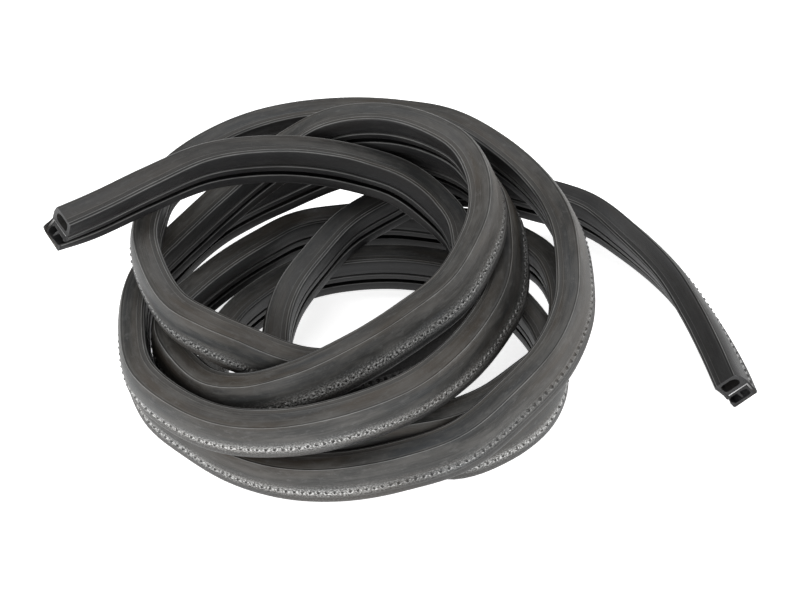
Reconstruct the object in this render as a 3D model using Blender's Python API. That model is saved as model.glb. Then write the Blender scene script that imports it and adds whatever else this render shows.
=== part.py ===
"""A loosely coiled rubber door seal with the steel clip strip that is moulded into it.

The seal is one extruded profile: a hollow bulb on top of a sideways channel whose mouth faces the
inside of the coil. The profile is carried along one route from cut end to cut end.
All lengths are metres unless a name says millimetres. +Z is up and the seal lies on z = 0.
"""
import math

import bmesh
import bpy
from mathutils import Vector

# Driving dimensions of the rubber profile
PROFILE_WIDTH = 0.016
PROFILE_HEIGHT = 0.024
# How far apart the cross-sections of the sweep stand
STATION_SPACING = 0.0265
# Thickness of the steel strip and the clearance around it
STRIP_THICKNESS = 0.0008
STRIP_CLEARANCE = 0.0003

# The profile was drawn on a 16 by 24 mm section, so every drawn point follows the two sizes
DRAWN_WIDTH = 16.0
DRAWN_HEIGHT = 24.0

# Outer outline of the rubber (outward, up) in drawn millimetres from the section's centre.
# It runs down the inner side, into the channel, round its floor and back up the outward side.
RUBBER_OUTLINE = [
    (-7.0, 12.0), (-8.0, 11.0), (-7.8, 1.8), (-7.1, 1.2), (-8.0, 0.2), (-8.0, -2.6),
    (-6.4, -3.2), (-5.4, -2.6), (3.6, -2.6), (4.6, -3.6), (4.6, -7.8), (3.6, -8.8),
    (-5.6, -8.8), (-6.6, -6.0), (-8.0, -5.8), (-8.0, -11.2), (-7.2, -12.0), (5.8, -12.0),
    (8.0, -9.8), (8.0, -1.0), (7.4, 6.6), (5.2, 12.0),
]

# Bore of the hollow bulb, in the same drawn millimetres
BULB_BORE = [
    (-5.6, 8.6), (-5.6, 3.8), (-4.4, 2.6), (3.2, 2.6), (4.8, 4.2), (4.6, 7.4), (2.6, 9.8), (-4.4, 9.8),
]

# Centre line of the steel strip in the section: upper arm, back and lower arm
STRIP_TIP_OUTWARD = -5.7
STRIP_BACK_OUTWARD = 6.3
STRIP_UPPER_ARM_UP = -0.6
STRIP_LOWER_ARM_UP = -10.4

# Route of the section's centre for a 16 by 24 mm profile: (x, y, z) in millimetres, then the lean
# in degrees by which the outward side is turned to face up. Read strand by strand from the picture.
ROUTE = [
    # First free end, carried over the back of the coil
    (-182.5, -9, 100, 14), (-164, 5, 98, 12), (-139, 25, 96, 9), (-112, 46, 92, 4), (-91, 56, 88, 1),
    (-69, 61, 85, 0), (-47, 65, 79, 0), (-24, 67, 71, 0), (-2, 64, 64, 0), (18, 56, 52, 0),
    # Down inside the right of the coil and under the front strand
    (31, 44, 44, 5), (36, 26, 38, 8), (32, -1, 35, 10), (19, -24, 33, 10), (0, -42, 34, 10),
    (-30, -56, 38, 6),
    # Up over the left of the coil
    (-56, -60, 43.8, -1), (-84, -55.7, 53.9, -3), (-104.2, -50.7, 62, -2), (-122, -36, 61.4, -5),
    (-134, -16, 63.6, -5), (-141, 4, 69, -2), (-140, 32, 67, 2), (-135, 59, 64, 4),
    # Widest turn, round the back and the right
    (-118, 84, 62, 4), (-93, 103, 62, 3), (-65, 115, 61, 0), (-30, 121, 60, 0), (-1, 120, 59, 0),
    (28, 111, 60, 0), (56, 92, 58, 9), (78, 66, 56, 14), (90, 32, 59, 18), (92, -9, 65, 20),
    (89, -38, 64.5, 20),
    # Down to the floor along the front
    (76.5, -68.3, 62, 17), (55, -92, 55, 13), (28, -111, 43.8, 9), (-4, -117, 34, 3),
    (-35, -113.5, 21, 1), (-65, -106, 13.4, -1), (-91, -95.8, 12.4, -2), (-112.6, -80, 12.2, -1),
    # Lowest strand on the left
    (-134, -59, 12.1, -1), (-146, -31, 12.2, -1), (-150, -2, 12.4, -1), (-146, 26, 13, 0),
    # Rising behind, under the small upper turn
    (-133, 46, 16, 0), (-121, 60, 20, 0), (-107, 71, 25, 0), (-90, 79, 31, 0), (-72, 85, 37, 0),
    (-42, 91, 49, 0), (-13, 88, 62, 0), (16, 82, 63, 3), (41, 70, 59, 8),
    # Middle turn, down the right and along the front
    (56, 51, 52, 21), (59, 23, 49, 22), (56, -8, 49.5, 22), (44, -38, 52.5, 16), (25, -72, 61, 10),
    (1, -95, 63, 2), (-29, -105, 57, -2), (-60, -105, 47, -4), (-93, -99, 41, -5),
    (-119, -84, 38, -5), (-140, -62, 38, -6), (-147.3, -32, 37, -4), (-147, -3, 39, -2),
    (-140, 20, 38, 0),
    # Small upper turn, up at the back left and over the right
    (-130, 32, 41, 0), (-119, 43, 45, 0), (-103, 57, 52, 0), (-84, 72, 60, 0), (-58, 85, 72, 0),
    (-36, 87, 83, 0), (-10, 84, 88, 0), (15, 75, 89, 8), (34, 61, 87, 14), (45, 40, 80, 20),
    (45, 18, 76, 21), (37, -4, 71, 20), (24, -25, 66, 18),
    # Across the front and down at the left
    (2, -46, 64, 16), (-24, -67, 63, 15), (-56, -81, 56, 12), (-83, -80, 44.6, 7),
    (-105.5, -69.5, 37.2, 3), (-122.6, -49.6, 36.9, 1), (-130, -29, 35, 0), (-126, -9, 33, 4),
    # Inner strand at the back left, down to the floor
    (-115, 7, 31, 0), (-98, 28, 29, 0), (-80, 48, 25, 0), (-62, 67, 19, 0), (-41, 79, 13, 0),
    (-6, 84, 11.6, 0), (23, 80, 11.6, 0),
    # Rising at the right, under the widest turn
    (49, 72, 15, 0), (69, 52, 22, 5), (82, 30, 30, 8), (88, 1, 37, 10), (87, -26, 38, 12),
    (78, -50, 38, 12), (62, -66, 37, 10), (43, -83, 38, 8), (20, -95, 39, 6),
    # Under the front strands and back to the floor
    (-3, -98, 36, 6), (-19, -97, 31, 4), (-35, -95, 24, 2), (-56, -89, 15, 0), (-73, -81, 12, 0),
    (-93, -68, 12, 0), (-105, -45, 12, 0), (-105, -21, 12, 0),
    # Innermost turn on the floor
    (-96, 2, 12, 0), (-78, 23, 12, 0), (-56, 39, 12, 0), (-33, 46, 12, 0), (-1, 48, 12, 0),
    (30, 42, 12, 0), (50, 32, 12, 0), (66, 14, 12, 4), (79, -11, 12, 6), (82, -35, 12, 6),
    (72, -61, 12, 6), (51, -81, 12, 4), (25, -92, 12, 2),
    # Under the front strands, inward
    (0, -85, 12, 2), (-22, -80, 12, 2), (-43, -69, 12, 0), (-61, -54, 14, 0), (-70, -37, 20, 0),
    # Across the middle, over the two floor strands
    (-70, -20, 28, 0), (-64, 0, 35, 0), (-49, 26, 38, 0), (-33, 50, 38, 0), (-11, 71, 36, 0),
    # Out under the right of the coil to the second free end
    (17, 87, 38.5, 0), (49, 94, 32, 0), (78, 88, 28, 0), (111, 84, 18, 8), (133, 67, 13, 16),
    (154, 37, 13, 24), (167, 4, 14, 31), (176, -26, 14, 36), (181, -48, 14.4, 38),
]

MILLIMETRE = 0.001


def remove_all_objects():
    """Take every object out of the scene."""
    for scene_object in list(bpy.data.objects):
        bpy.data.objects.remove(scene_object, do_unlink=True)


def make_material(name, colour, metallic, roughness):
    """One plain Principled material."""
    material = bpy.data.materials.new(name)
    material.use_nodes = True
    shader = material.node_tree.nodes["Principled BSDF"]
    shader.inputs["Base Color"].default_value = (*colour, 1.0)
    shader.inputs["Metallic"].default_value = metallic
    shader.inputs["Roughness"].default_value = roughness
    return material


def size_factors():
    """How much wider and taller the profile is than the drawn one."""
    wide = PROFILE_WIDTH / (DRAWN_WIDTH * MILLIMETRE)
    tall = PROFILE_HEIGHT / (DRAWN_HEIGHT * MILLIMETRE)
    return wide, tall


def scaled_section(points):
    """Section points in metres at the real size of the profile."""
    wide, tall = size_factors()
    return [(out * wide * MILLIMETRE, up * tall * MILLIMETRE) for out, up in points]


def route_points():
    """Route points in metres with the lean in radians, spread and stacked with the profile."""
    wide, tall = size_factors()
    points = []
    for x, y, z, lean in ROUTE:
        place = Vector((x * wide, y * wide, z * tall)) * MILLIMETRE
        points.append((place, math.radians(lean)))
    return points


def curve_between(before, start, end, after, amount):
    """Place and lean on a centripetal Catmull-Rom piece from start to end."""
    knots = [0.0]
    for first, second in ((before, start), (start, end), (end, after)):
        knots.append(knots[-1] + math.sqrt((second[0] - first[0]).length))
    span_before = knots[1] - knots[0]
    span = knots[2] - knots[1]
    span_after = knots[3] - knots[2]

    def blend(value_before, value_start, value_end, value_after):
        slope_start = (value_start - value_before) / span_before
        slope_start = slope_start - (value_end - value_before) / (span_before + span)
        slope_start = (value_end - value_start) + span * slope_start
        slope_end = (value_after - value_end) / span_after
        slope_end = slope_end - (value_after - value_start) / (span + span_after)
        slope_end = (value_end - value_start) + span * slope_end
        square = amount * amount
        cube = square * amount
        return (
            (2 * cube - 3 * square + 1) * value_start
            + (cube - 2 * square + amount) * slope_start
            + (3 * square - 2 * cube) * value_end
            + (cube - square) * slope_end
        )

    place = blend(before[0], start[0], end[0], after[0])
    lean = blend(before[1], start[1], end[1], after[1])
    return place, lean


def fine_route(points, steps):
    """The smooth route through the points, in small steps."""
    first = (points[0][0] * 2 - points[1][0], points[0][1])
    last = (points[-1][0] * 2 - points[-2][0], points[-1][1])
    padded = [first] + points + [last]
    route = []
    for index in range(1, len(padded) - 2):
        before, start, end, after = padded[index - 1:index + 3]
        for step in range(steps):
            route.append(curve_between(before, start, end, after, step / steps))
    route.append(points[-1])
    return route


def even_stations(route, spacing):
    """Stations at even distances along the fine route: place, heading and lean."""
    travelled = [0.0]
    for first, second in zip(route[:-1], route[1:]):
        travelled.append(travelled[-1] + (second[0] - first[0]).length)
    count = max(2, round(travelled[-1] / spacing))
    stations = []
    index = 0
    for number in range(count + 1):
        wanted = travelled[-1] * number / count
        while index < len(route) - 2 and travelled[index + 1] < wanted:
            index += 1
        share = (wanted - travelled[index]) / (travelled[index + 1] - travelled[index])
        share = min(1.0, max(0.0, share))
        place = route[index][0].lerp(route[index + 1][0], share)
        lean = route[index][1] + (route[index + 1][1] - route[index][1]) * share
        behind = route[max(index - 1, 0)][0]
        ahead = route[min(index + 2, len(route) - 1)][0]
        stations.append((place, (ahead - behind).normalized(), lean))
    return stations


def section_axes(heading, lean):
    """Outward and up directions of the section at one station."""
    level_outward = Vector((-heading.y, heading.x, 0.0)).normalized()
    level_up = heading.cross(level_outward)
    outward = level_outward * math.cos(lean) + level_up * math.sin(lean)
    up = level_up * math.cos(lean) - level_outward * math.sin(lean)
    return outward, up


def ring_points(station, section):
    """World points of one section ring."""
    place, heading, lean = station
    outward, up = section_axes(heading, lean)
    return [place + outward * out + up * rise for out, rise in section]


def resting_shift(stations, section):
    """Moves the seal so that its box stands centred on the origin with its underside at z = 0."""
    points = [point for station in stations for point in ring_points(station, section)]
    low = [min(point[axis] for point in points) for axis in range(3)]
    high = [max(point[axis] for point in points) for axis in range(3)]
    return Vector((-(low[0] + high[0]) / 2, -(low[1] + high[1]) / 2, -low[2]))


def sweep_solid(name, stations, outlines, shift, material):
    """Closed solid swept along the stations. The first outline is the outside, the rest are bores."""
    mesh = bmesh.new()
    loops = []
    for outline in outlines:
        rings = []
        for station in stations:
            rings.append([mesh.verts.new(point + shift) for point in ring_points(station, outline)])
        loops.append(rings)
        count = len(outline)
        for near, far in zip(rings[:-1], rings[1:]):
            for index in range(count):
                following = (index + 1) % count
                mesh.faces.new((near[index], near[following], far[following], far[index]))
    for end in (0, -1):
        edges = []
        for rings in loops:
            ring = rings[end]
            for index in range(len(ring)):
                pair = (ring[index], ring[(index + 1) % len(ring)])
                edge = mesh.edges.get(pair)
                edges.append(edge)
        bmesh.ops.triangle_fill(mesh, use_beauty=True, edges=edges)
    bmesh.ops.triangulate(mesh, faces=[face for face in mesh.faces if len(face.verts) > 3])
    bmesh.ops.recalc_face_normals(mesh, faces=mesh.faces)
    data = bpy.data.meshes.new(name)
    mesh.to_mesh(data)
    mesh.free()
    data.materials.append(material)
    solid = bpy.data.objects.new(name, data)
    bpy.context.scene.collection.objects.link(solid)
    data.shade_smooth()
    data.set_sharp_from_angle(angle=math.radians(35))
    return solid


def strip_outline(margin):
    """U-shaped outline of the steel strip, grown on every side by the margin (metres)."""
    wide, tall = size_factors()
    half = STRIP_THICKNESS / 2 + margin
    tip = STRIP_TIP_OUTWARD * wide * MILLIMETRE - margin
    back = STRIP_BACK_OUTWARD * wide * MILLIMETRE
    upper = STRIP_UPPER_ARM_UP * tall * MILLIMETRE
    lower = STRIP_LOWER_ARM_UP * tall * MILLIMETRE
    return [
        (tip, upper + half), (tip, upper - half), (back - half, upper - half),
        (back - half, lower + half), (tip, lower + half), (tip, lower - half),
        (back + half, lower - half), (back + half, upper + half),
    ]


def main():
    remove_all_objects()
    rubber = make_material("black_rubber", (0.045, 0.045, 0.047), 0.0, 0.6)
    steel = make_material("bright_steel", (0.62, 0.62, 0.63), 1.0, 0.35)
    stations = even_stations(fine_route(route_points(), 12), STATION_SPACING)
    outside = scaled_section(RUBBER_OUTLINE)
    bulb = scaled_section(BULB_BORE)
    shift = resting_shift(stations, outside)
    slot = strip_outline(STRIP_CLEARANCE)
    sweep_solid("rubber_profile", stations, [outside, bulb, slot], shift, rubber)
    sweep_solid("steel_strip", stations, [strip_outline(0.0)], shift, steel)


main()
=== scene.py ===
"""Dresses the coiled door seal: the rounded rubber profile with its row of dimples, and its steel strip.

The route and the sweep repeat the part's own, in metres and in the part's frame, so that each
piece lies where its solid does. The finish comes from shader nodes that read where a point is
along the strip and round its section.
"""
import bisect
import math

import bmesh
import bpy
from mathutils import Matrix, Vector, noise
from mathutils.geometry import tessellate_polygon


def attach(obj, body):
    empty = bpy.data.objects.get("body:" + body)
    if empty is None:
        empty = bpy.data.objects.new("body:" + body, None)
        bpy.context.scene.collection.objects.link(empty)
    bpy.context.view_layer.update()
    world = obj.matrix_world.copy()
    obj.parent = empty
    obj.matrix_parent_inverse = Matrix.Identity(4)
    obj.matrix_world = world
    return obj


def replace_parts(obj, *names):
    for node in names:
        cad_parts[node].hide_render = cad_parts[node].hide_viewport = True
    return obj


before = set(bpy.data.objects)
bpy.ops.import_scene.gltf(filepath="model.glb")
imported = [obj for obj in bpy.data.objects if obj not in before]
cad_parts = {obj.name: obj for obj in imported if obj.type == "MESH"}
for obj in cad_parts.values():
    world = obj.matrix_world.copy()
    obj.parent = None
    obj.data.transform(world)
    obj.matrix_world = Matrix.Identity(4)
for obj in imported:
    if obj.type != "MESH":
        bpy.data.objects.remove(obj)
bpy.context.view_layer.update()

MILLIMETRE = 0.001

# The part's own driving dimensions
PROFILE_WIDTH = 0.016
PROFILE_HEIGHT = 0.024
STATION_SPACING = 0.0265
DRAWN_WIDTH = 16.0
DRAWN_HEIGHT = 24.0

# The part's plain outline of the rubber, from which its resting place is worked out
PLAIN_OUTLINE = [
    (-7.0, 12.0), (-8.0, 11.0), (-7.8, 1.8), (-7.1, 1.2), (-8.0, 0.2), (-8.0, -2.6),
    (-6.4, -3.2), (-5.4, -2.6), (3.6, -2.6), (4.6, -3.6), (4.6, -7.8), (3.6, -8.8),
    (-5.6, -8.8), (-6.6, -6.0), (-8.0, -5.8), (-8.0, -11.2), (-7.2, -12.0), (5.8, -12.0),
    (8.0, -9.8), (8.0, -1.0), (7.4, 6.6), (5.2, 12.0),
]

# The part's route: (x, y, z) in millimetres, then the lean in degrees
ROUTE = [
    # First free end, carried over the back of the coil
    (-182.5, -9, 100, 14), (-164, 5, 98, 12), (-139, 25, 96, 9), (-112, 46, 92, 4), (-91, 56, 88, 1),
    (-69, 61, 85, 0), (-47, 65, 79, 0), (-24, 67, 71, 0), (-2, 64, 64, 0), (18, 56, 52, 0),
    # Down inside the right of the coil and under the front strand
    (31, 44, 44, 5), (36, 26, 38, 8), (32, -1, 35, 10), (19, -24, 33, 10), (0, -42, 34, 10),
    (-30, -56, 38, 6),
    # Up over the left of the coil
    (-56, -60, 43.8, -1), (-84, -55.7, 53.9, -3), (-104.2, -50.7, 62, -2), (-122, -36, 61.4, -5),
    (-134, -16, 63.6, -5), (-141, 4, 69, -2), (-140, 32, 67, 2), (-135, 59, 64, 4),
    # Widest turn, round the back and the right
    (-118, 84, 62, 4), (-93, 103, 62, 3), (-65, 115, 61, 0), (-30, 121, 60, 0), (-1, 120, 59, 0),
    (28, 111, 60, 0), (56, 92, 58, 9), (78, 66, 56, 14), (90, 32, 59, 18), (92, -9, 65, 20),
    (89, -38, 64.5, 20),
    # Down to the floor along the front
    (76.5, -68.3, 62, 17), (55, -92, 55, 13), (28, -111, 43.8, 9), (-4, -117, 34, 3),
    (-35, -113.5, 21, 1), (-65, -106, 13.4, -1), (-91, -95.8, 12.4, -2), (-112.6, -80, 12.2, -1),
    # Lowest strand on the left
    (-134, -59, 12.1, -1), (-146, -31, 12.2, -1), (-150, -2, 12.4, -1), (-146, 26, 13, 0),
    # Rising behind, under the small upper turn
    (-133, 46, 16, 0), (-121, 60, 20, 0), (-107, 71, 25, 0), (-90, 79, 31, 0), (-72, 85, 37, 0),
    (-42, 91, 49, 0), (-13, 88, 62, 0), (16, 82, 63, 3), (41, 70, 59, 8),
    # Middle turn, down the right and along the front
    (56, 51, 52, 21), (59, 23, 49, 22), (56, -8, 49.5, 22), (44, -38, 52.5, 16), (25, -72, 61, 10),
    (1, -95, 63, 2), (-29, -105, 57, -2), (-60, -105, 47, -4), (-93, -99, 41, -5),
    (-119, -84, 38, -5), (-140, -62, 38, -6), (-147.3, -32, 37, -4), (-147, -3, 39, -2),
    (-140, 20, 38, 0),
    # Small upper turn, up at the back left and over the right
    (-130, 32, 41, 0), (-119, 43, 45, 0), (-103, 57, 52, 0), (-84, 72, 60, 0), (-58, 85, 72, 0),
    (-36, 87, 83, 0), (-10, 84, 88, 0), (15, 75, 89, 8), (34, 61, 87, 14), (45, 40, 80, 20),
    (45, 18, 76, 21), (37, -4, 71, 20), (24, -25, 66, 18),
    # Across the front and down at the left
    (2, -46, 64, 16), (-24, -67, 63, 15), (-56, -81, 56, 12), (-83, -80, 44.6, 7),
    (-105.5, -69.5, 37.2, 3), (-122.6, -49.6, 36.9, 1), (-130, -29, 35, 0), (-126, -9, 33, 4),
    # Inner strand at the back left, down to the floor
    (-115, 7, 31, 0), (-98, 28, 29, 0), (-80, 48, 25, 0), (-62, 67, 19, 0), (-41, 79, 13, 0),
    (-6, 84, 11.6, 0), (23, 80, 11.6, 0),
    # Rising at the right, under the widest turn
    (49, 72, 15, 0), (69, 52, 22, 5), (82, 30, 30, 8), (88, 1, 37, 10), (87, -26, 38, 12),
    (78, -50, 38, 12), (62, -66, 37, 10), (43, -83, 38, 8), (20, -95, 39, 6),
    # Under the front strands and back to the floor
    (-3, -98, 36, 6), (-19, -97, 31, 4), (-35, -95, 24, 2), (-56, -89, 15, 0), (-73, -81, 12, 0),
    (-93, -68, 12, 0), (-105, -45, 12, 0), (-105, -21, 12, 0),
    # Innermost turn on the floor
    (-96, 2, 12, 0), (-78, 23, 12, 0), (-56, 39, 12, 0), (-33, 46, 12, 0), (-1, 48, 12, 0),
    (30, 42, 12, 0), (50, 32, 12, 0), (66, 14, 12, 4), (79, -11, 12, 6), (82, -35, 12, 6),
    (72, -61, 12, 6), (51, -81, 12, 4), (25, -92, 12, 2),
    # Under the front strands, inward
    (0, -85, 12, 2), (-22, -80, 12, 2), (-43, -69, 12, 0), (-61, -54, 14, 0), (-70, -37, 20, 0),
    # Across the middle, over the two floor strands
    (-70, -20, 28, 0), (-64, 0, 35, 0), (-49, 26, 38, 0), (-33, 50, 38, 0), (-11, 71, 36, 0),
    # Out under the right of the coil to the second free end
    (17, 87, 38.5, 0), (49, 94, 32, 0), (78, 88, 28, 0), (111, 84, 18, 8), (133, 67, 13, 16),
    (154, 37, 13, 24), (167, 4, 14, 31), (176, -26, 14, 36), (181, -48, 14.4, 38),
]

# Distance between two dimples. It is also the distance between the fine sections of the sweep.
DIMPLE_PITCH = 0.0043
DIMPLE_SIDES = 8
# How far a dimple strays along the strip and up it, in metres
DIMPLE_STRAY_ALONG = 0.00035
DIMPLE_STRAY_UP = 0.00025
# The lower lip of a dimple faces up and gets this many times more dust, partly real dust and partly a
# painted highlight where the lip catches the light
LOWER_LIP_DUST_AND_HIGHLIGHT = 2.6
# How much the depth of the dimples varies along the strip
DIMPLE_WEAR = 0.35
# Rings of a dimple from its rim to its floor: radius, height over the band, glint, chalk. The glint
# paints a highlight on the lip and shade on the floor of the pit.
DIMPLE_RINGS = [
    (1.85, 0.0, 0.0, 0.6), (1.3, 0.09, 0.4, 1.0), (0.95, -0.3, -0.1, 0.6), (0.55, -0.85, -0.75, 0.0),
]

# Fine outline of the rubber in drawn millimetres: outward, up, glint.
# The glint is a painted highlight, a bright line on the crest of a ridge, and a negative
# glint is painted shade, a dark line in a groove. It runs round the section as the plain outline does.
FINE_OUTLINE = [
    # Double ridge at the top inner edge
    (-5.8, 12.0, 0.0), (-6.15, 12.1, 1.0), (-6.6, 11.75, -0.7), (-7.1, 11.7, 0.1), (-7.4, 11.6, 0.9),
    (-7.8, 11.2, 0.1), (-8.0, 10.6, 0.0),
    # Wall of the bulb on the inner side, and the groove under it
    (-7.8, 7.6, 0.0), (-7.75, 4.6, 0.0), (-7.85, 2.5, 0.3), (-7.6, 2.0, -0.3), (-7.1, 1.7, -1.0),
    (-7.1, 1.2, -1.0),
    # Upper lip of the channel
    (-7.75, 0.9, 0.2), (-8.0, 0.5, 0.8), (-8.0, 0.0, 0.1), (-8.0, -2.2, 0.1), (-7.7, -2.8, 0.4),
    (-6.5, -3.2, 0.0), (-5.4, -2.6, 0.0),
    # Roof of the channel with its gripping fin
    (-1.6, -2.6, 0.0), (-0.5, -6.3, 0.0), (-0.1, -6.6, 0.0), (0.3, -6.3, 0.0), (0.2, -2.6, 0.0),
    (3.6, -2.6, 0.0),
    # Back and floor of the channel
    (4.6, -3.6, 0.0), (4.6, -7.8, 0.0), (3.6, -8.8, 0.0), (-5.6, -8.8, 0.0),
    # Lower lip
    (-6.5, -6.2, 0.0), (-7.3, -5.75, 0.5), (-7.8, -5.8, 0.9), (-8.0, -6.3, 0.2), (-8.0, -10.8, 0.2),
    (-7.8, -11.5, 0.3), (-7.2, -12.0, 0.0),
    # Underside and rounded lower corner
    (5.4, -12.0, 0.0), (6.5, -11.75, 0.0), (7.3, -11.1, 0.0), (7.85, -10.1, 0.0),
    # Rough strip of the outward side
    (8.05, -8.6, 0.0), (8.05, -6.5, 0.5), (7.8, -6.1, -0.3),
    # The band that carries the dimples
    (7.8, -5.2, 0.0), (7.8, -1.0, 0.0),
    # Smooth wall up to the ridge at the top outer edge
    (7.98, -0.6, 0.4), (7.85, -0.1, 0.0), (7.75, 3.2, 0.0), (7.4, 6.6, 0.0), (6.75, 9.2, 0.0),
    (5.95, 11.2, 0.0), (5.65, 11.85, 0.2), (5.35, 12.1, 1.0), (4.95, 12.0, 0.0),
    (4.55, 11.85, -0.7), (4.1, 12.0, 0.35),
    # Slightly crowned top with a faint line
    (2.2, 12.1, 0.0), (-1.0, 12.15, 0.0), (-3.2, 12.05, 0.0), (-3.6, 12.1, 0.55), (-4.0, 12.0, -0.3),
]
# The outline point at which the dimples' band starts
BAND_LOW = (7.8, -5.2)

# Unevenness of the soft rubber in drawn millimetres: slow swell and quick ripple
SLOW_SWELL = 0.16
QUICK_SWELL = 0.05

# Bore of the bulb: outward, up, cut of the corner
BULB_BORE = [
    (-5.6, 8.6, 0.9), (-5.6, 3.8, 0.8), (-4.4, 2.6, 0.6), (3.2, 2.6, 0.8), (4.8, 4.2, 0.8),
    (4.6, 7.4, 0.8), (2.6, 9.8, 1.2), (-4.4, 9.8, 0.8),
]
CORNER_STEPS = 1

# The strip's thickness and centre line are the part's own
STRIP_THICKNESS = 0.8
STRIP_TIP_OUTWARD = -5.7
STRIP_BACK_OUTWARD = 6.3
STRIP_UPPER_ARM_UP = -0.6
STRIP_LOWER_ARM_UP = -10.4
# Less than the part's clearance, so that the strip looks bonded in
STRIP_CLEARANCE = 0.05

# The channel is crushed and pulled out near the cut ends: reach and pulls in metres, squeeze as a share
END_REACH = 0.022
FIRST_SQUEEZE = 0.34
FIRST_PULL = 0.0045
LAST_SQUEEZE = 0.2
LAST_PULL = 0.002
CRUSH_TOP = -1.0

# Depth at which the pull is full, in drawn millimetres, and how uneven it is
FULL_PULL_DEPTH = 5.0
PULL_UNEVENNESS = 0.5

# Glint kept by the points of a cut face as a weaker painted highlight, and the painted shade of the face
CUT_FACE_GLINT = 0.6
CUT_FACE_SHADE = 0.9

# Places on the section where the finish changes, in drawn millimetres
OUTWARD_SIDE = 5.5
BAND_TOP = -0.2
BAND_BOTTOM = -6.2
CHANNEL_TOP = -2.6
CHANNEL_BOTTOM = -8.9
CHANNEL_BACK = 5.0
LOWER_STRIP_TOP = -6.0
INWARD_START = -6.6

# Chalk on the smooth wall, with its loss for each millimetre up, on the band and below it
WALL_CHALK = 0.2
WALL_CHALK_LOSS = 0.06
BAND_CHALK = 0.5
LOWER_CHALK = 0.1
# Painted shade on the rough lower strip
LOWER_STRIP_SHADE = 0.5

# Stretches over which the rubber gets blacker towards its cut ends, as metres along the strip
FIRST_TAIL = 0.3
LAST_TAIL = (3.6, 3.76)

# Steps between two route points: as in the part for the resting place, finer for the sweep
PART_ROUTE_STEPS = 12
FINE_ROUTE_STEPS = 40

# Of the bores' and the strip's stations one in so many is kept, and the last few at each end
KEPT_EVERY = 4
KEPT_AT_ENDS = 6

# Edges sharper than this many degrees are drawn sharp
RUBBER_SHARP = 42
STEEL_SHARP = 30

# Colours of the rubber's finish
BARE_BLACK = (0.024, 0.024, 0.023)
BARE_BROWN = (0.042, 0.035, 0.028)
COOL_BLACK = (0.030, 0.033, 0.036)
SMEAR_GREY = (0.080, 0.077, 0.072)
SCUFF_GREY = (0.10, 0.10, 0.097)
LINE_GREY = (0.085, 0.083, 0.079)
# Painted shade on the inward side, in the channel, on the lower strip and on the cut faces
PAINTED_SHADE_BLACK = (0.008, 0.008, 0.009)
TAIL_BLACK = (0.010, 0.010, 0.011)
DUST_GREY = (0.56, 0.56, 0.55)
# Painted highlight on the crests of ridges and the lips of dimples
CREST_HIGHLIGHT_GREY = (0.24, 0.24, 0.235)
# Painted shade in grooves and in the dimples' pits
HOLLOW_SHADE_BLACK = (0.008, 0.008, 0.008)

# Colours of the steel's finish
STEEL_DARK = (0.30, 0.30, 0.30)
STEEL_BRIGHT = (0.80, 0.80, 0.81)
# Painted shade on the lower arm and the back of the strip
STEEL_PAINTED_SHADE = (0.035, 0.033, 0.030)

FLOOR_HALF = 6.0
FLOOR_COLOUR = (0.9, 0.9, 0.9, 1.0)
FLOOR_GLOW = 0.78

# Soft lights: name, place in metres, side of the square in metres, watts
LIGHTS = [
    ("front", (-0.3, -1.5, 0.75), 0.9, 15.0),
    ("left", (-1.5, 0.0, 0.55), 0.8, 13.0),
    ("right", (1.5, 0.0, 0.55), 0.8, 13.0),
    ("top", (0.0, 0.6, 1.5), 0.8, 10.0),
]
LIGHT_TARGET = (0.0, 0.0, 0.04)
WORLD_STRENGTH = 0.4

CAMERA_PLACE = (-0.02794, -0.79135, 0.88224)
CAMERA_TILT = 43.0
CAMERA_LENS = 94.1
CAMERA_SHIFT = 0.05375


def size_factors():
    """How much wider and taller the profile is than the drawn one."""
    wide = PROFILE_WIDTH / (DRAWN_WIDTH * MILLIMETRE)
    tall = PROFILE_HEIGHT / (DRAWN_HEIGHT * MILLIMETRE)
    return wide, tall


def route_points():
    """Route points in metres with the lean in radians."""
    wide, tall = size_factors()
    points = []
    for x, y, z, lean in ROUTE:
        place = Vector((x * wide, y * wide, z * tall)) * MILLIMETRE
        points.append((place, math.radians(lean)))
    return points


def curve_between(before, start, end, after, amount):
    """Place and lean on a centripetal Catmull-Rom piece from start to end."""
    knots = [0.0]
    for first, second in ((before, start), (start, end), (end, after)):
        knots.append(knots[-1] + math.sqrt((second[0] - first[0]).length))
    span_before = knots[1] - knots[0]
    span = knots[2] - knots[1]
    span_after = knots[3] - knots[2]

    def blend(value_before, value_start, value_end, value_after):
        slope_start = (value_start - value_before) / span_before
        slope_start = slope_start - (value_end - value_before) / (span_before + span)
        slope_start = (value_end - value_start) + span * slope_start
        slope_end = (value_after - value_end) / span_after
        slope_end = slope_end - (value_after - value_start) / (span + span_after)
        slope_end = (value_end - value_start) + span * slope_end
        square = amount * amount
        cube = square * amount
        return (
            (2 * cube - 3 * square + 1) * value_start
            + (cube - 2 * square + amount) * slope_start
            + (3 * square - 2 * cube) * value_end
            + (cube - square) * slope_end
        )

    place = blend(before[0], start[0], end[0], after[0])
    lean = blend(before[1], start[1], end[1], after[1])
    return place, lean


def fine_route(points, steps):
    """The smooth route through the points, in small steps."""
    first = (points[0][0] * 2 - points[1][0], points[0][1])
    last = (points[-1][0] * 2 - points[-2][0], points[-1][1])
    padded = [first] + points + [last]
    route = []
    for index in range(1, len(padded) - 2):
        before, start, end, after = padded[index - 1:index + 3]
        for step in range(steps):
            route.append(curve_between(before, start, end, after, step / steps))
    route.append(points[-1])
    return route


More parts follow.
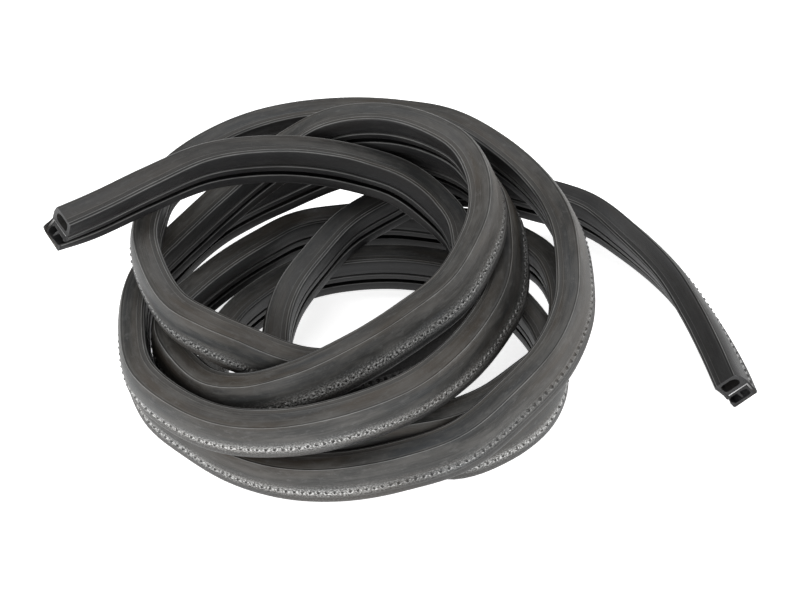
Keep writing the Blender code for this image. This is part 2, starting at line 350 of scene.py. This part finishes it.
def even_stations(route, spacing):
    """Stations at even distances along the fine route: place, heading, lean and distance."""
    travelled = [0.0]
    for first, second in zip(route[:-1], route[1:]):
        travelled.append(travelled[-1] + (second[0] - first[0]).length)
    count = max(2, round(travelled[-1] / spacing))
    stations = []
    for number in range(count + 1):
        wanted = travelled[-1] * number / count
        index = min(max(bisect.bisect_left(travelled, wanted) - 1, 0), len(route) - 2)
        share = (wanted - travelled[index]) / (travelled[index + 1] - travelled[index])
        share = min(1.0, max(0.0, share))
        place = route[index][0].lerp(route[index + 1][0], share)
        lean = route[index][1] + (route[index + 1][1] - route[index][1]) * share
        behind = route[max(index - 1, 0)][0]
        ahead = route[min(index + 2, len(route) - 1)][0]
        stations.append((place, (ahead - behind).normalized(), lean, wanted))
    return stations


def section_axes(heading, lean):
    """Outward and up directions of the section at one station."""
    level_outward = Vector((-heading.y, heading.x, 0.0)).normalized()
    level_up = heading.cross(level_outward)
    outward = level_outward * math.cos(lean) + level_up * math.sin(lean)
    up = level_up * math.cos(lean) - level_outward * math.sin(lean)
    return outward, up


def section_point(station, outward_mm, up_mm):
    """World point of a drawn section point at one station, before the resting shift."""
    wide, tall = size_factors()
    outward, up = section_axes(station[1], station[2])
    return station[0] + (outward * outward_mm * wide + up * up_mm * tall) * MILLIMETRE


def resting_shift(stations):
    """The part's own shift, which centres its box on the origin with its underside at z = 0."""
    points = [section_point(station, *point) for station in stations for point in PLAIN_OUTLINE]
    low = [min(point[axis] for point in points) for axis in range(3)]
    high = [max(point[axis] for point in points) for axis in range(3)]
    return Vector((-(low[0] + high[0]) / 2, -(low[1] + high[1]) / 2, -low[2]))


def rounded(outline, steps):
    """Closed outline with its corners rounded: a list of (outward, up)."""
    points = []
    count = len(outline)
    for index in range(count):
        here = outline[index]
        corner = Vector(here[:2])
        radius = here[2]
        to_last = Vector(outline[index - 1][:2]) - corner
        to_next = Vector(outline[(index + 1) % count][:2]) - corner
        reach = min(radius, to_last.length * 0.45, to_next.length * 0.45)
        start = corner + to_last.normalized() * reach
        finish = corner + to_next.normalized() * reach
        for step in range(steps + 1):
            amount = step / steps
            bent = start.lerp(corner, amount).lerp(corner.lerp(finish, amount), amount)
            points.append((bent.x, bent.y))
    return points


def strip_outline(margin):
    """U-shaped outline of the steel strip, grown on every side by the margin, with its glint."""
    half = STRIP_THICKNESS / 2 + margin
    tip = STRIP_TIP_OUTWARD - margin
    back = STRIP_BACK_OUTWARD
    upper = STRIP_UPPER_ARM_UP
    lower = STRIP_LOWER_ARM_UP
    # Painted highlight on the upper arm, and painted shade on the rest
    return [
        (tip, upper + half, 1.0), (tip, upper - half, 1.0), (back - half, upper - half, 0.6),
        (back - half, lower + half, 0.1), (tip, lower + half, 0.0), (tip, lower - half, 0.0),
        (back + half, lower - half, 0.1), (back + half, upper + half, 0.6),
    ]


class Skin:
    """Points, faces and paint values of one swept piece."""

    def __init__(self):
        self.points = []
        self.faces = []
        self.place = []
        self.glint = []
        self.chalk = []
        self.painted_shade = []

    def add(self, point, along, around, glint=0.0, chalk=0.0, painted_shade=0.0):
        self.points.append(point)
        self.place.append((along, around, 0.0))
        self.glint.append(glint)
        self.chalk.append(chalk)
        self.painted_shade.append(painted_shade)
        return len(self.points) - 1

    def build(self, name, material, sharp_degrees):
        data = bpy.data.meshes.new(name)
        data.from_pydata(self.points, [], self.faces)
        for label, values in (("glint", self.glint), ("chalk", self.chalk), ("painted_shade", self.painted_shade)):
            data.attributes.new(label, "FLOAT", "POINT").data.foreach_set("value", values)
        flat = [number for place in self.place for number in place]
        data.attributes.new("strip_place", "FLOAT_VECTOR", "POINT").data.foreach_set("vector", flat)
        mesh = bmesh.new()
        mesh.from_mesh(data)
        bmesh.ops.recalc_face_normals(mesh, faces=mesh.faces)
        mesh.to_mesh(data)
        mesh.free()
        data.materials.append(material)
        piece = bpy.data.objects.new(name, data)
        bpy.context.scene.collection.objects.link(piece)
        data.shade_smooth()
        data.set_sharp_from_angle(angle=math.radians(sharp_degrees))
        return piece


def chalk_amount(outward, up):
    """How much chalky wear a place on the section gathers."""
    if outward < OUTWARD_SIDE:
        return 0.0
    if up > BAND_TOP:
        return max(0.0, WALL_CHALK - WALL_CHALK_LOSS * (up - BAND_TOP))
    if up > BAND_BOTTOM:
        return BAND_CHALK
    return LOWER_CHALK


def painted_shade_amount(outward, up):
    """How much painted shade a place on the section gets: the inward side, the inside of the channel and
    the rough lower strip.
    """
    if CHANNEL_TOP >= up >= CHANNEL_BOTTOM and outward < CHANNEL_BACK:
        return 1.0
    if outward > CHANNEL_BACK and up < LOWER_STRIP_TOP:
        return LOWER_STRIP_SHADE
    return min(1.0, max(0.0, INWARD_START - outward))


def wobble(along, around, outward, up):
    """Small unevenness of the soft rubber, in drawn millimetres."""
    slow = noise.noise(Vector((along * 22.0, around * 0.25, 3.7)))
    quick = noise.noise(Vector((along * 75.0, around * 0.6, 9.1)))
    swell = SLOW_SWELL * slow + QUICK_SWELL * quick
    length = math.hypot(outward, up)
    return outward * swell / length, up * swell / length


def ring_length(section):
    """Distance of each section point round the section, in millimetres."""
    lengths = [0.0]
    for first, second in zip(section[:-1], section[1:]):
        lengths.append(lengths[-1] + math.hypot(second[0] - first[0], second[1] - first[1]))
    return lengths


def crushed(outward, up, along, length):
    """New height on the section of a point near a cut end, and its move along the strip."""
    first = max(0.0, 1.0 - along / END_REACH) ** 2
    last = max(0.0, 1.0 - (length - along) / END_REACH) ** 2
    if up > CRUSH_TOP or first + last == 0.0:
        return up, 0.0
    depth = CRUSH_TOP - up
    height = CRUSH_TOP - depth * (1.0 - FIRST_SQUEEZE * first - LAST_SQUEEZE * last)
    reach = min(1.0, depth / FULL_PULL_DEPTH)
    ragged = 1.0 + PULL_UNEVENNESS * noise.noise(Vector((outward * 0.6, up * 0.6, along * 10.0)))
    return height, reach * ragged * (LAST_PULL * last - FIRST_PULL * first)


def ring_of(skin, station, section, shift, length, wobbly):
    """Adds one ring of section points to the skin and returns their numbers."""
    ring = []
    lengths = ring_length(section)
    for point, around in zip(section, lengths):
        outward, up = point[:2]
        glint = point[2] if len(point) > 2 else 0.0
        push = wobble(station[3], around, outward, up) if wobbly else (0.0, 0.0)
        height, pull = crushed(outward, up, station[3], length)
        place = section_point(station, outward + push[0], height + push[1]) + shift
        place = place + station[1] * pull
        ring.append(skin.add(
            place, station[3], around * MILLIMETRE, glint,
            chalk_amount(outward, up), painted_shade_amount(outward, up),
        ))
    return ring


def join_rings(skin, near, far, left_out=()):
    """Quads between two rings, without those that start at the left-out places."""
    count = len(near)
    for index in range(count):
        if index in left_out:
            continue
        following = (index + 1) % count
        skin.faces.append((near[index], near[following], far[following], far[index]))


def cap_end(skin, rings):
    """Closes a cut end between its outline and its bores, with painted shade on a face of its own
    points.
    """
    numbers = []
    for number in [number for ring in rings for number in ring]:
        along, around = skin.place[number][:2]
        # The cut face gets painted shade, and its edges keep part of their painted highlight
        glint = skin.glint[number] * CUT_FACE_GLINT
        numbers.append(skin.add(skin.points[number], along, around, glint, 0.0, CUT_FACE_SHADE))
    origin = skin.points[rings[0][0]]
    across = (skin.points[rings[0][len(rings[0]) // 2]] - origin).normalized()
    normal = across.cross(skin.points[rings[0][len(rings[0]) // 4]] - origin).normalized()
    side = normal.cross(across)
    loops = []
    for ring in rings:
        spots = [skin.points[number] - origin for number in ring]
        loops.append([Vector((spot.dot(across), spot.dot(side), 0.0)) for spot in spots])
    for triangle in tessellate_polygon(loops):
        skin.faces.append(tuple(numbers[corner] for corner in triangle))


def add_dimple(skin, near, far, band):
    """One dimple between two rings, in place of the band's flat face."""
    low_near, high_near = near[band], near[(band + 1) % len(near)]
    low_far, high_far = far[band], far[(band + 1) % len(far)]
    corners = [low_near, low_far, high_far, high_near]
    places = [skin.points[number] for number in corners]
    middle = (places[0] + places[1] + places[2] + places[3]) / 4
    ahead = ((places[1] + places[2]) - (places[0] + places[3])).normalized()
    rise = ((places[2] + places[3]) - (places[0] + places[1])).normalized()
    out = ahead.cross(rise).normalized()
    along = (skin.place[low_near][0] + skin.place[low_far][0]) / 2
    around = (skin.place[low_near][1] + skin.place[high_near][1]) / 2
    seed = Vector((along * 400.0, 0.5, 0.5))
    middle = middle + ahead * noise.noise(seed) * DIMPLE_STRAY_ALONG
    middle = middle + rise * noise.noise(seed.yxz) * DIMPLE_STRAY_UP
    worn = 1.0 + DIMPLE_WEAR * noise.noise(Vector((along * 35.0, 7.7, 1.3)))
    rings = []
    for radius, height, glint, chalk in DIMPLE_RINGS:
        ring = []
        for number in range(DIMPLE_SIDES):
            angle = math.tau * (number + 0.5) / DIMPLE_SIDES
            run = math.cos(angle) * radius
            climb = math.sin(angle) * radius
            spot = middle + (ahead * run + rise * climb + out * height * worn) * MILLIMETRE
            # The lower half of the lip gets more dust, which also serves as a painted highlight
            dust_and_lip_highlight = chalk * (LOWER_LIP_DUST_AND_HIGHLIGHT if climb < 0.0 else 1.0)
            ring.append(skin.add(
                spot, along + run * MILLIMETRE, around + climb * MILLIMETRE, glint, dust_and_lip_highlight, 0.0,
            ))
        rings.append(ring)
    quarter = DIMPLE_SIDES // 4
    # Rim numbers run anticlockwise from the right, and so do these corners from the low left
    order = [corners[2], corners[3], corners[0], corners[1]]
    for side in range(4):
        corner = order[side]
        following = order[(side + 1) % 4]
        start = side * quarter
        for step in range(quarter - 1):
            first = rings[0][(start + step) % DIMPLE_SIDES]
            second = rings[0][(start + step + 1) % DIMPLE_SIDES]
            skin.faces.append((corner, second, first))
        last = rings[0][(start + quarter - 1) % DIMPLE_SIDES]
        opening = rings[0][(start + quarter) % DIMPLE_SIDES]
        skin.faces.append((corner, following, opening, last))
    for outer, inside in zip(rings[:-1], rings[1:]):
        join_rings(skin, outer, inside)
    skin.faces.append(tuple(rings[-1]))


def thinned(stations):
    """Stations at even steps, and every one near the cut ends."""
    kept = []
    for number, station in enumerate(stations):
        from_end = min(number, len(stations) - 1 - number)
        if number % KEPT_EVERY == 0 or from_end < KEPT_AT_ENDS:
            kept.append(station)
    return kept


def make_rubber(stations, shift, material):
    """The rubber profile with its bulb's bore, its channel and the row of dimples."""
    skin = Skin()
    outline = FINE_OUTLINE
    bore = rounded(BULB_BORE, CORNER_STEPS)
    slot = [point[:2] for point in strip_outline(STRIP_CLEARANCE)]
    band = [index for index, point in enumerate(outline) if point[:2] == BAND_LOW][0]
    length = stations[-1][3]
    outer_rings = [ring_of(skin, station, outline, shift, length, True) for station in stations]
    for near, far in zip(outer_rings[:-1], outer_rings[1:]):
        join_rings(skin, near, far, left_out=(band,))
        add_dimple(skin, near, far, band)
    bores = []
    for loop in (bore, slot):
        rings = [ring_of(skin, station, loop, shift, length, False) for station in thinned(stations)]
        for near, far in zip(rings[:-1], rings[1:]):
            join_rings(skin, near, far)
        bores.append(rings)
    for end in (0, -1):
        cap_end(skin, [outer_rings[end]] + [rings[end] for rings in bores])
    return skin.build("rubber_seal", material, RUBBER_SHARP)


def make_strip(stations, shift, material):
    """The bright steel strip inside the rubber."""
    skin = Skin()
    outline = strip_outline(0.0)
    length = stations[-1][3]
    rings = [ring_of(skin, station, outline, shift, length, False) for station in thinned(stations)]
    for near, far in zip(rings[:-1], rings[1:]):
        join_rings(skin, near, far)
    for end in (0, -1):
        cap_end(skin, [rings[end]])
    return skin.build("clip_strip", material, STEEL_SHARP)


def new_material(name):
    """A material with its node tree's nodes and links, and its Principled shader."""
    material = bpy.data.materials.new(name)
    material.use_nodes = True
    nodes = material.node_tree.nodes
    return material, nodes, material.node_tree.links, nodes["Principled BSDF"]


def add_noise(nodes, links, vector, scale, detail, roughness=0.55):
    """A noise texture on a vector, and its value socket."""
    texture = nodes.new("ShaderNodeTexNoise")
    texture.inputs["Scale"].default_value = scale
    texture.inputs["Detail"].default_value = detail
    texture.inputs["Roughness"].default_value = roughness
    links.new(vector, texture.inputs["Vector"])
    return texture.outputs["Fac"]


def stretched(nodes, links, vector, scale):
    """The vector scaled by its own amount on each axis."""
    mapping = nodes.new("ShaderNodeMapping")
    mapping.inputs["Scale"].default_value = scale
    links.new(vector, mapping.inputs["Vector"])
    return mapping.outputs["Vector"]


def ranged(nodes, links, value, low, high, to_low=0.0, to_high=1.0):
    """The value stretched from one range to another, and clamped."""
    node = nodes.new("ShaderNodeMapRange")
    node.inputs["From Min"].default_value = low
    node.inputs["From Max"].default_value = high
    node.inputs["To Min"].default_value = to_low
    node.inputs["To Max"].default_value = to_high
    links.new(value, node.inputs["Value"])
    return node.outputs["Result"]


def maths(nodes, links, operation, first, second):
    """A math node on two sockets or numbers."""
    node = nodes.new("ShaderNodeMath")
    node.operation = operation
    node.use_clamp = True
    for value, socket in ((first, node.inputs[0]), (second, node.inputs[1])):
        if isinstance(value, (int, float)):
            socket.default_value = value
        else:
            links.new(value, socket)
    return node.outputs["Value"]


def mixed(nodes, links, amount, below, above):
    """A colour mixed between two colours or colour sockets."""
    node = nodes.new("ShaderNodeMix")
    node.data_type = "RGBA"
    links.new(amount, node.inputs["Factor"])
    for value, socket in ((below, node.inputs[6]), (above, node.inputs[7])):
        if isinstance(value, tuple):
            socket.default_value = (*value, 1.0)
        else:
            links.new(value, socket)
    return node.outputs[2]


def attribute(nodes, name):
    """The node that reads a named value of the mesh."""
    node = nodes.new("ShaderNodeAttribute")
    node.attribute_name = name
    return node


def make_rubber_material():
    """Dull black rubber with extrusion lines and chalky dust round the dimples, with painted highlights
    on ridges and painted shade in grooves, pits and on the inward side.
    """
    material, nodes, links, shader = new_material("black_rubber_worn")
    place = attribute(nodes, "strip_place").outputs["Vector"]
    glint = attribute(nodes, "glint").outputs["Fac"]
    chalk = attribute(nodes, "chalk").outputs["Fac"]
    painted_shade = attribute(nodes, "painted_shade").outputs["Fac"]

    def on_strip(scale, detail, roughness=0.55):
        return add_noise(nodes, links, stretched(nodes, links, place, scale), 1.0, detail, roughness)

    lines = on_strip((9.0, 2400.0, 1.0), 3.0)
    patches = on_strip((34.0, 170.0, 1.0), 6.0, 0.68)
    scuffs = on_strip((160.0, 300.0, 5.0), 4.0, 0.7)
    brown = on_strip((8.0, 70.0, 1.0), 3.0)
    cool = on_strip((11.0, 60.0, 4.0), 3.0)
    dusty_stretches = on_strip((7.0, 20.0, 9.0), 2.0)
    grains = on_strip((900.0, 1100.0, 1.0), 3.0, 0.7)

    # Bare rubber: warm and cool stretches, grey smears, then lengthwise lines
    colour = mixed(nodes, links, ranged(nodes, links, brown, 0.42, 0.62),
                   BARE_BLACK, BARE_BROWN)
    colour = mixed(nodes, links, ranged(nodes, links, cool, 0.48, 0.66, 0.0, 0.8),
                   colour, COOL_BLACK)
    colour = mixed(nodes, links, ranged(nodes, links, patches, 0.44, 0.7, 0.0, 0.85),
                   colour, SMEAR_GREY)
    colour = mixed(nodes, links, ranged(nodes, links, scuffs, 0.54, 0.72, 0.0, 0.5),
                   colour, SCUFF_GREY)
    colour = mixed(nodes, links, ranged(nodes, links, lines, 0.5, 0.75, 0.0, 0.5),
                   colour, LINE_GREY)
    # Painted shade on the inward side, in the channel, on the lower strip and on the cut faces
    colour = mixed(nodes, links, ranged(nodes, links, painted_shade, 0.0, 1.0, 0.0, 0.8),
                   colour, PAINTED_SHADE_BLACK)

    # The rubber is blacker towards its cut ends, the last one most of all
    split = nodes.new("ShaderNodeSeparateXYZ")
    links.new(place, split.inputs["Vector"])
    along = split.outputs["X"]
    tails = maths(nodes, links, "ADD", ranged(nodes, links, along, FIRST_TAIL, 0.0, 0.0, 0.45),
                  ranged(nodes, links, along, *LAST_TAIL, 0.0, 0.75))
    colour = mixed(nodes, links, tails, colour, TAIL_BLACK)

    # Chalky dust, thick on some stretches and thin on others; on the dimples' lower lips it is partly a
    # painted highlight
    spread = ranged(nodes, links, dusty_stretches, 0.36, 0.6, 0.15, 1.05)
    dust_and_lip_highlight = maths(nodes, links, "MULTIPLY", spread, ranged(nodes, links, grains, 0.45, 0.62, 0.05, 1.0))
    dust_and_lip_highlight = maths(nodes, links, "MULTIPLY", dust_and_lip_highlight, chalk)
    colour = mixed(nodes, links, dust_and_lip_highlight, colour, DUST_GREY)

    # Painted highlight on the crests of ridges and the lips of dimples
    painted_highlight = maths(nodes, links, "MULTIPLY", ranged(nodes, links, glint, 0.25, 1.0),
                  ranged(nodes, links, patches, 0.3, 0.6, 0.35, 0.9))
    colour = mixed(nodes, links, painted_highlight, colour, CREST_HIGHLIGHT_GREY)
    # Painted shade in grooves and in the dimples' pits
    painted_hollow_shade = ranged(nodes, links, glint, -0.2, -1.0)
    colour = mixed(nodes, links, painted_hollow_shade, colour, HOLLOW_SHADE_BLACK)
    links.new(colour, shader.inputs["Base Color"])

    links.new(ranged(nodes, links, patches, 0.3, 0.7, 0.40, 0.62), shader.inputs["Roughness"])
    shader.inputs["Specular IOR Level"].default_value = 0.32

    bump = nodes.new("ShaderNodeBump")
    bump.inputs["Strength"].default_value = 0.35
    bump.inputs["Distance"].default_value = 0.0002
    links.new(lines, bump.inputs["Height"])
    grain = nodes.new("ShaderNodeBump")
    grain.inputs["Strength"].default_value = 0.4
    grain.inputs["Distance"].default_value = 0.0003
    links.new(grains, grain.inputs["Height"])
    links.new(bump.outputs["Normal"], grain.inputs["Normal"])
    links.new(grain.outputs["Normal"], shader.inputs["Normal"])
    return material


def make_steel_material():
    """Bright sheared steel with fine scratches, with painted shade on its lower arm and back."""
    material, nodes, links, shader = new_material("sheared_steel")
    place = attribute(nodes, "strip_place").outputs["Vector"]
    scratches = add_noise(nodes, links, stretched(nodes, links, place, (60.0, 3000.0, 1.0)), 1.0, 3.0)
    colour = mixed(nodes, links, ranged(nodes, links, scratches, 0.35, 0.65),
                   STEEL_DARK, STEEL_BRIGHT)
    glint = attribute(nodes, "glint").outputs["Fac"]
    # Painted shade on the lower arm and the back, with the upper arm left bright as a painted highlight
    colour = mixed(nodes, links, ranged(nodes, links, glint, 0.15, 0.6), STEEL_PAINTED_SHADE, colour)
    links.new(colour, shader.inputs["Base Color"])
    shader.inputs["Metallic"].default_value = 1.0
    links.new(ranged(nodes, links, scratches, 0.3, 0.7, 0.25, 0.5), shader.inputs["Roughness"])
    return material


def make_floor():
    """Plain pale floor under the coil."""
    data = bpy.data.meshes.new("floor")
    half = FLOOR_HALF
    corners = [(-half, -half, 0), (half, -half, 0), (half, half, 0), (-half, half, 0)]
    data.from_pydata(corners, [], [(0, 1, 2, 3)])
    floor = bpy.data.objects.new("floor", data)
    bpy.context.scene.collection.objects.link(floor)
    material, nodes, links, shader = new_material("pale_floor")
    shader.inputs["Base Color"].default_value = FLOOR_COLOUR
    shader.inputs["Roughness"].default_value = 0.9
    shader.inputs["Emission Color"].default_value = (1.0, 1.0, 1.0, 1.0)
    shader.inputs["Emission Strength"].default_value = FLOOR_GLOW
    data.materials.append(material)


def add_area_light(name, place, size, watts):
    """Soft square light at a place, aimed at the coil."""
    lamp = bpy.data.lights.new(name, "AREA")
    lamp.shape = "SQUARE"
    lamp.size = size
    lamp.energy = watts
    light = bpy.data.objects.new(name, lamp)
    light.location = place
    aim = Vector(LIGHT_TARGET) - Vector(place)
    light.rotation_euler = aim.to_track_quat("-Z", "Y").to_euler()
    bpy.context.scene.collection.objects.link(light)


def light_scene():
    """Soft studio light on a pale world."""
    world = bpy.data.worlds.new("studio")
    world.use_nodes = True
    background = world.node_tree.nodes["Background"]
    background.inputs["Color"].default_value = (1.0, 1.0, 1.0, 1.0)
    background.inputs["Strength"].default_value = WORLD_STRENGTH
    bpy.context.scene.world = world
    for light in LIGHTS:
        add_area_light(*light)


def add_camera():
    """The camera at the photograph's viewing angle."""
    lens = bpy.data.cameras.new("photo_view")
    lens.lens = CAMERA_LENS
    lens.sensor_width = 36.0
    lens.shift_x = CAMERA_SHIFT
    lens.clip_start = 0.05
    lens.clip_end = 50.0
    camera = bpy.data.objects.new("photo_view", lens)
    camera.location = CAMERA_PLACE
    camera.rotation_euler = (math.radians(CAMERA_TILT), 0.0, 0.0)
    bpy.context.scene.collection.objects.link(camera)
    bpy.context.scene.camera = camera


def main():
    plain_stations = even_stations(fine_route(route_points(), PART_ROUTE_STEPS), STATION_SPACING)
    shift = resting_shift(plain_stations)
    stations = even_stations(fine_route(route_points(), FINE_ROUTE_STEPS), DIMPLE_PITCH)
    rubber = make_rubber(stations, shift, make_rubber_material())
    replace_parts(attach(rubber, "root"), "rubber_profile")
    strip = make_strip(stations, shift, make_steel_material())
    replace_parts(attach(strip, "root"), "steel_strip")
    make_floor()
    light_scene()
    add_camera()
    bpy.context.scene.view_settings.view_transform = "Standard"


main()
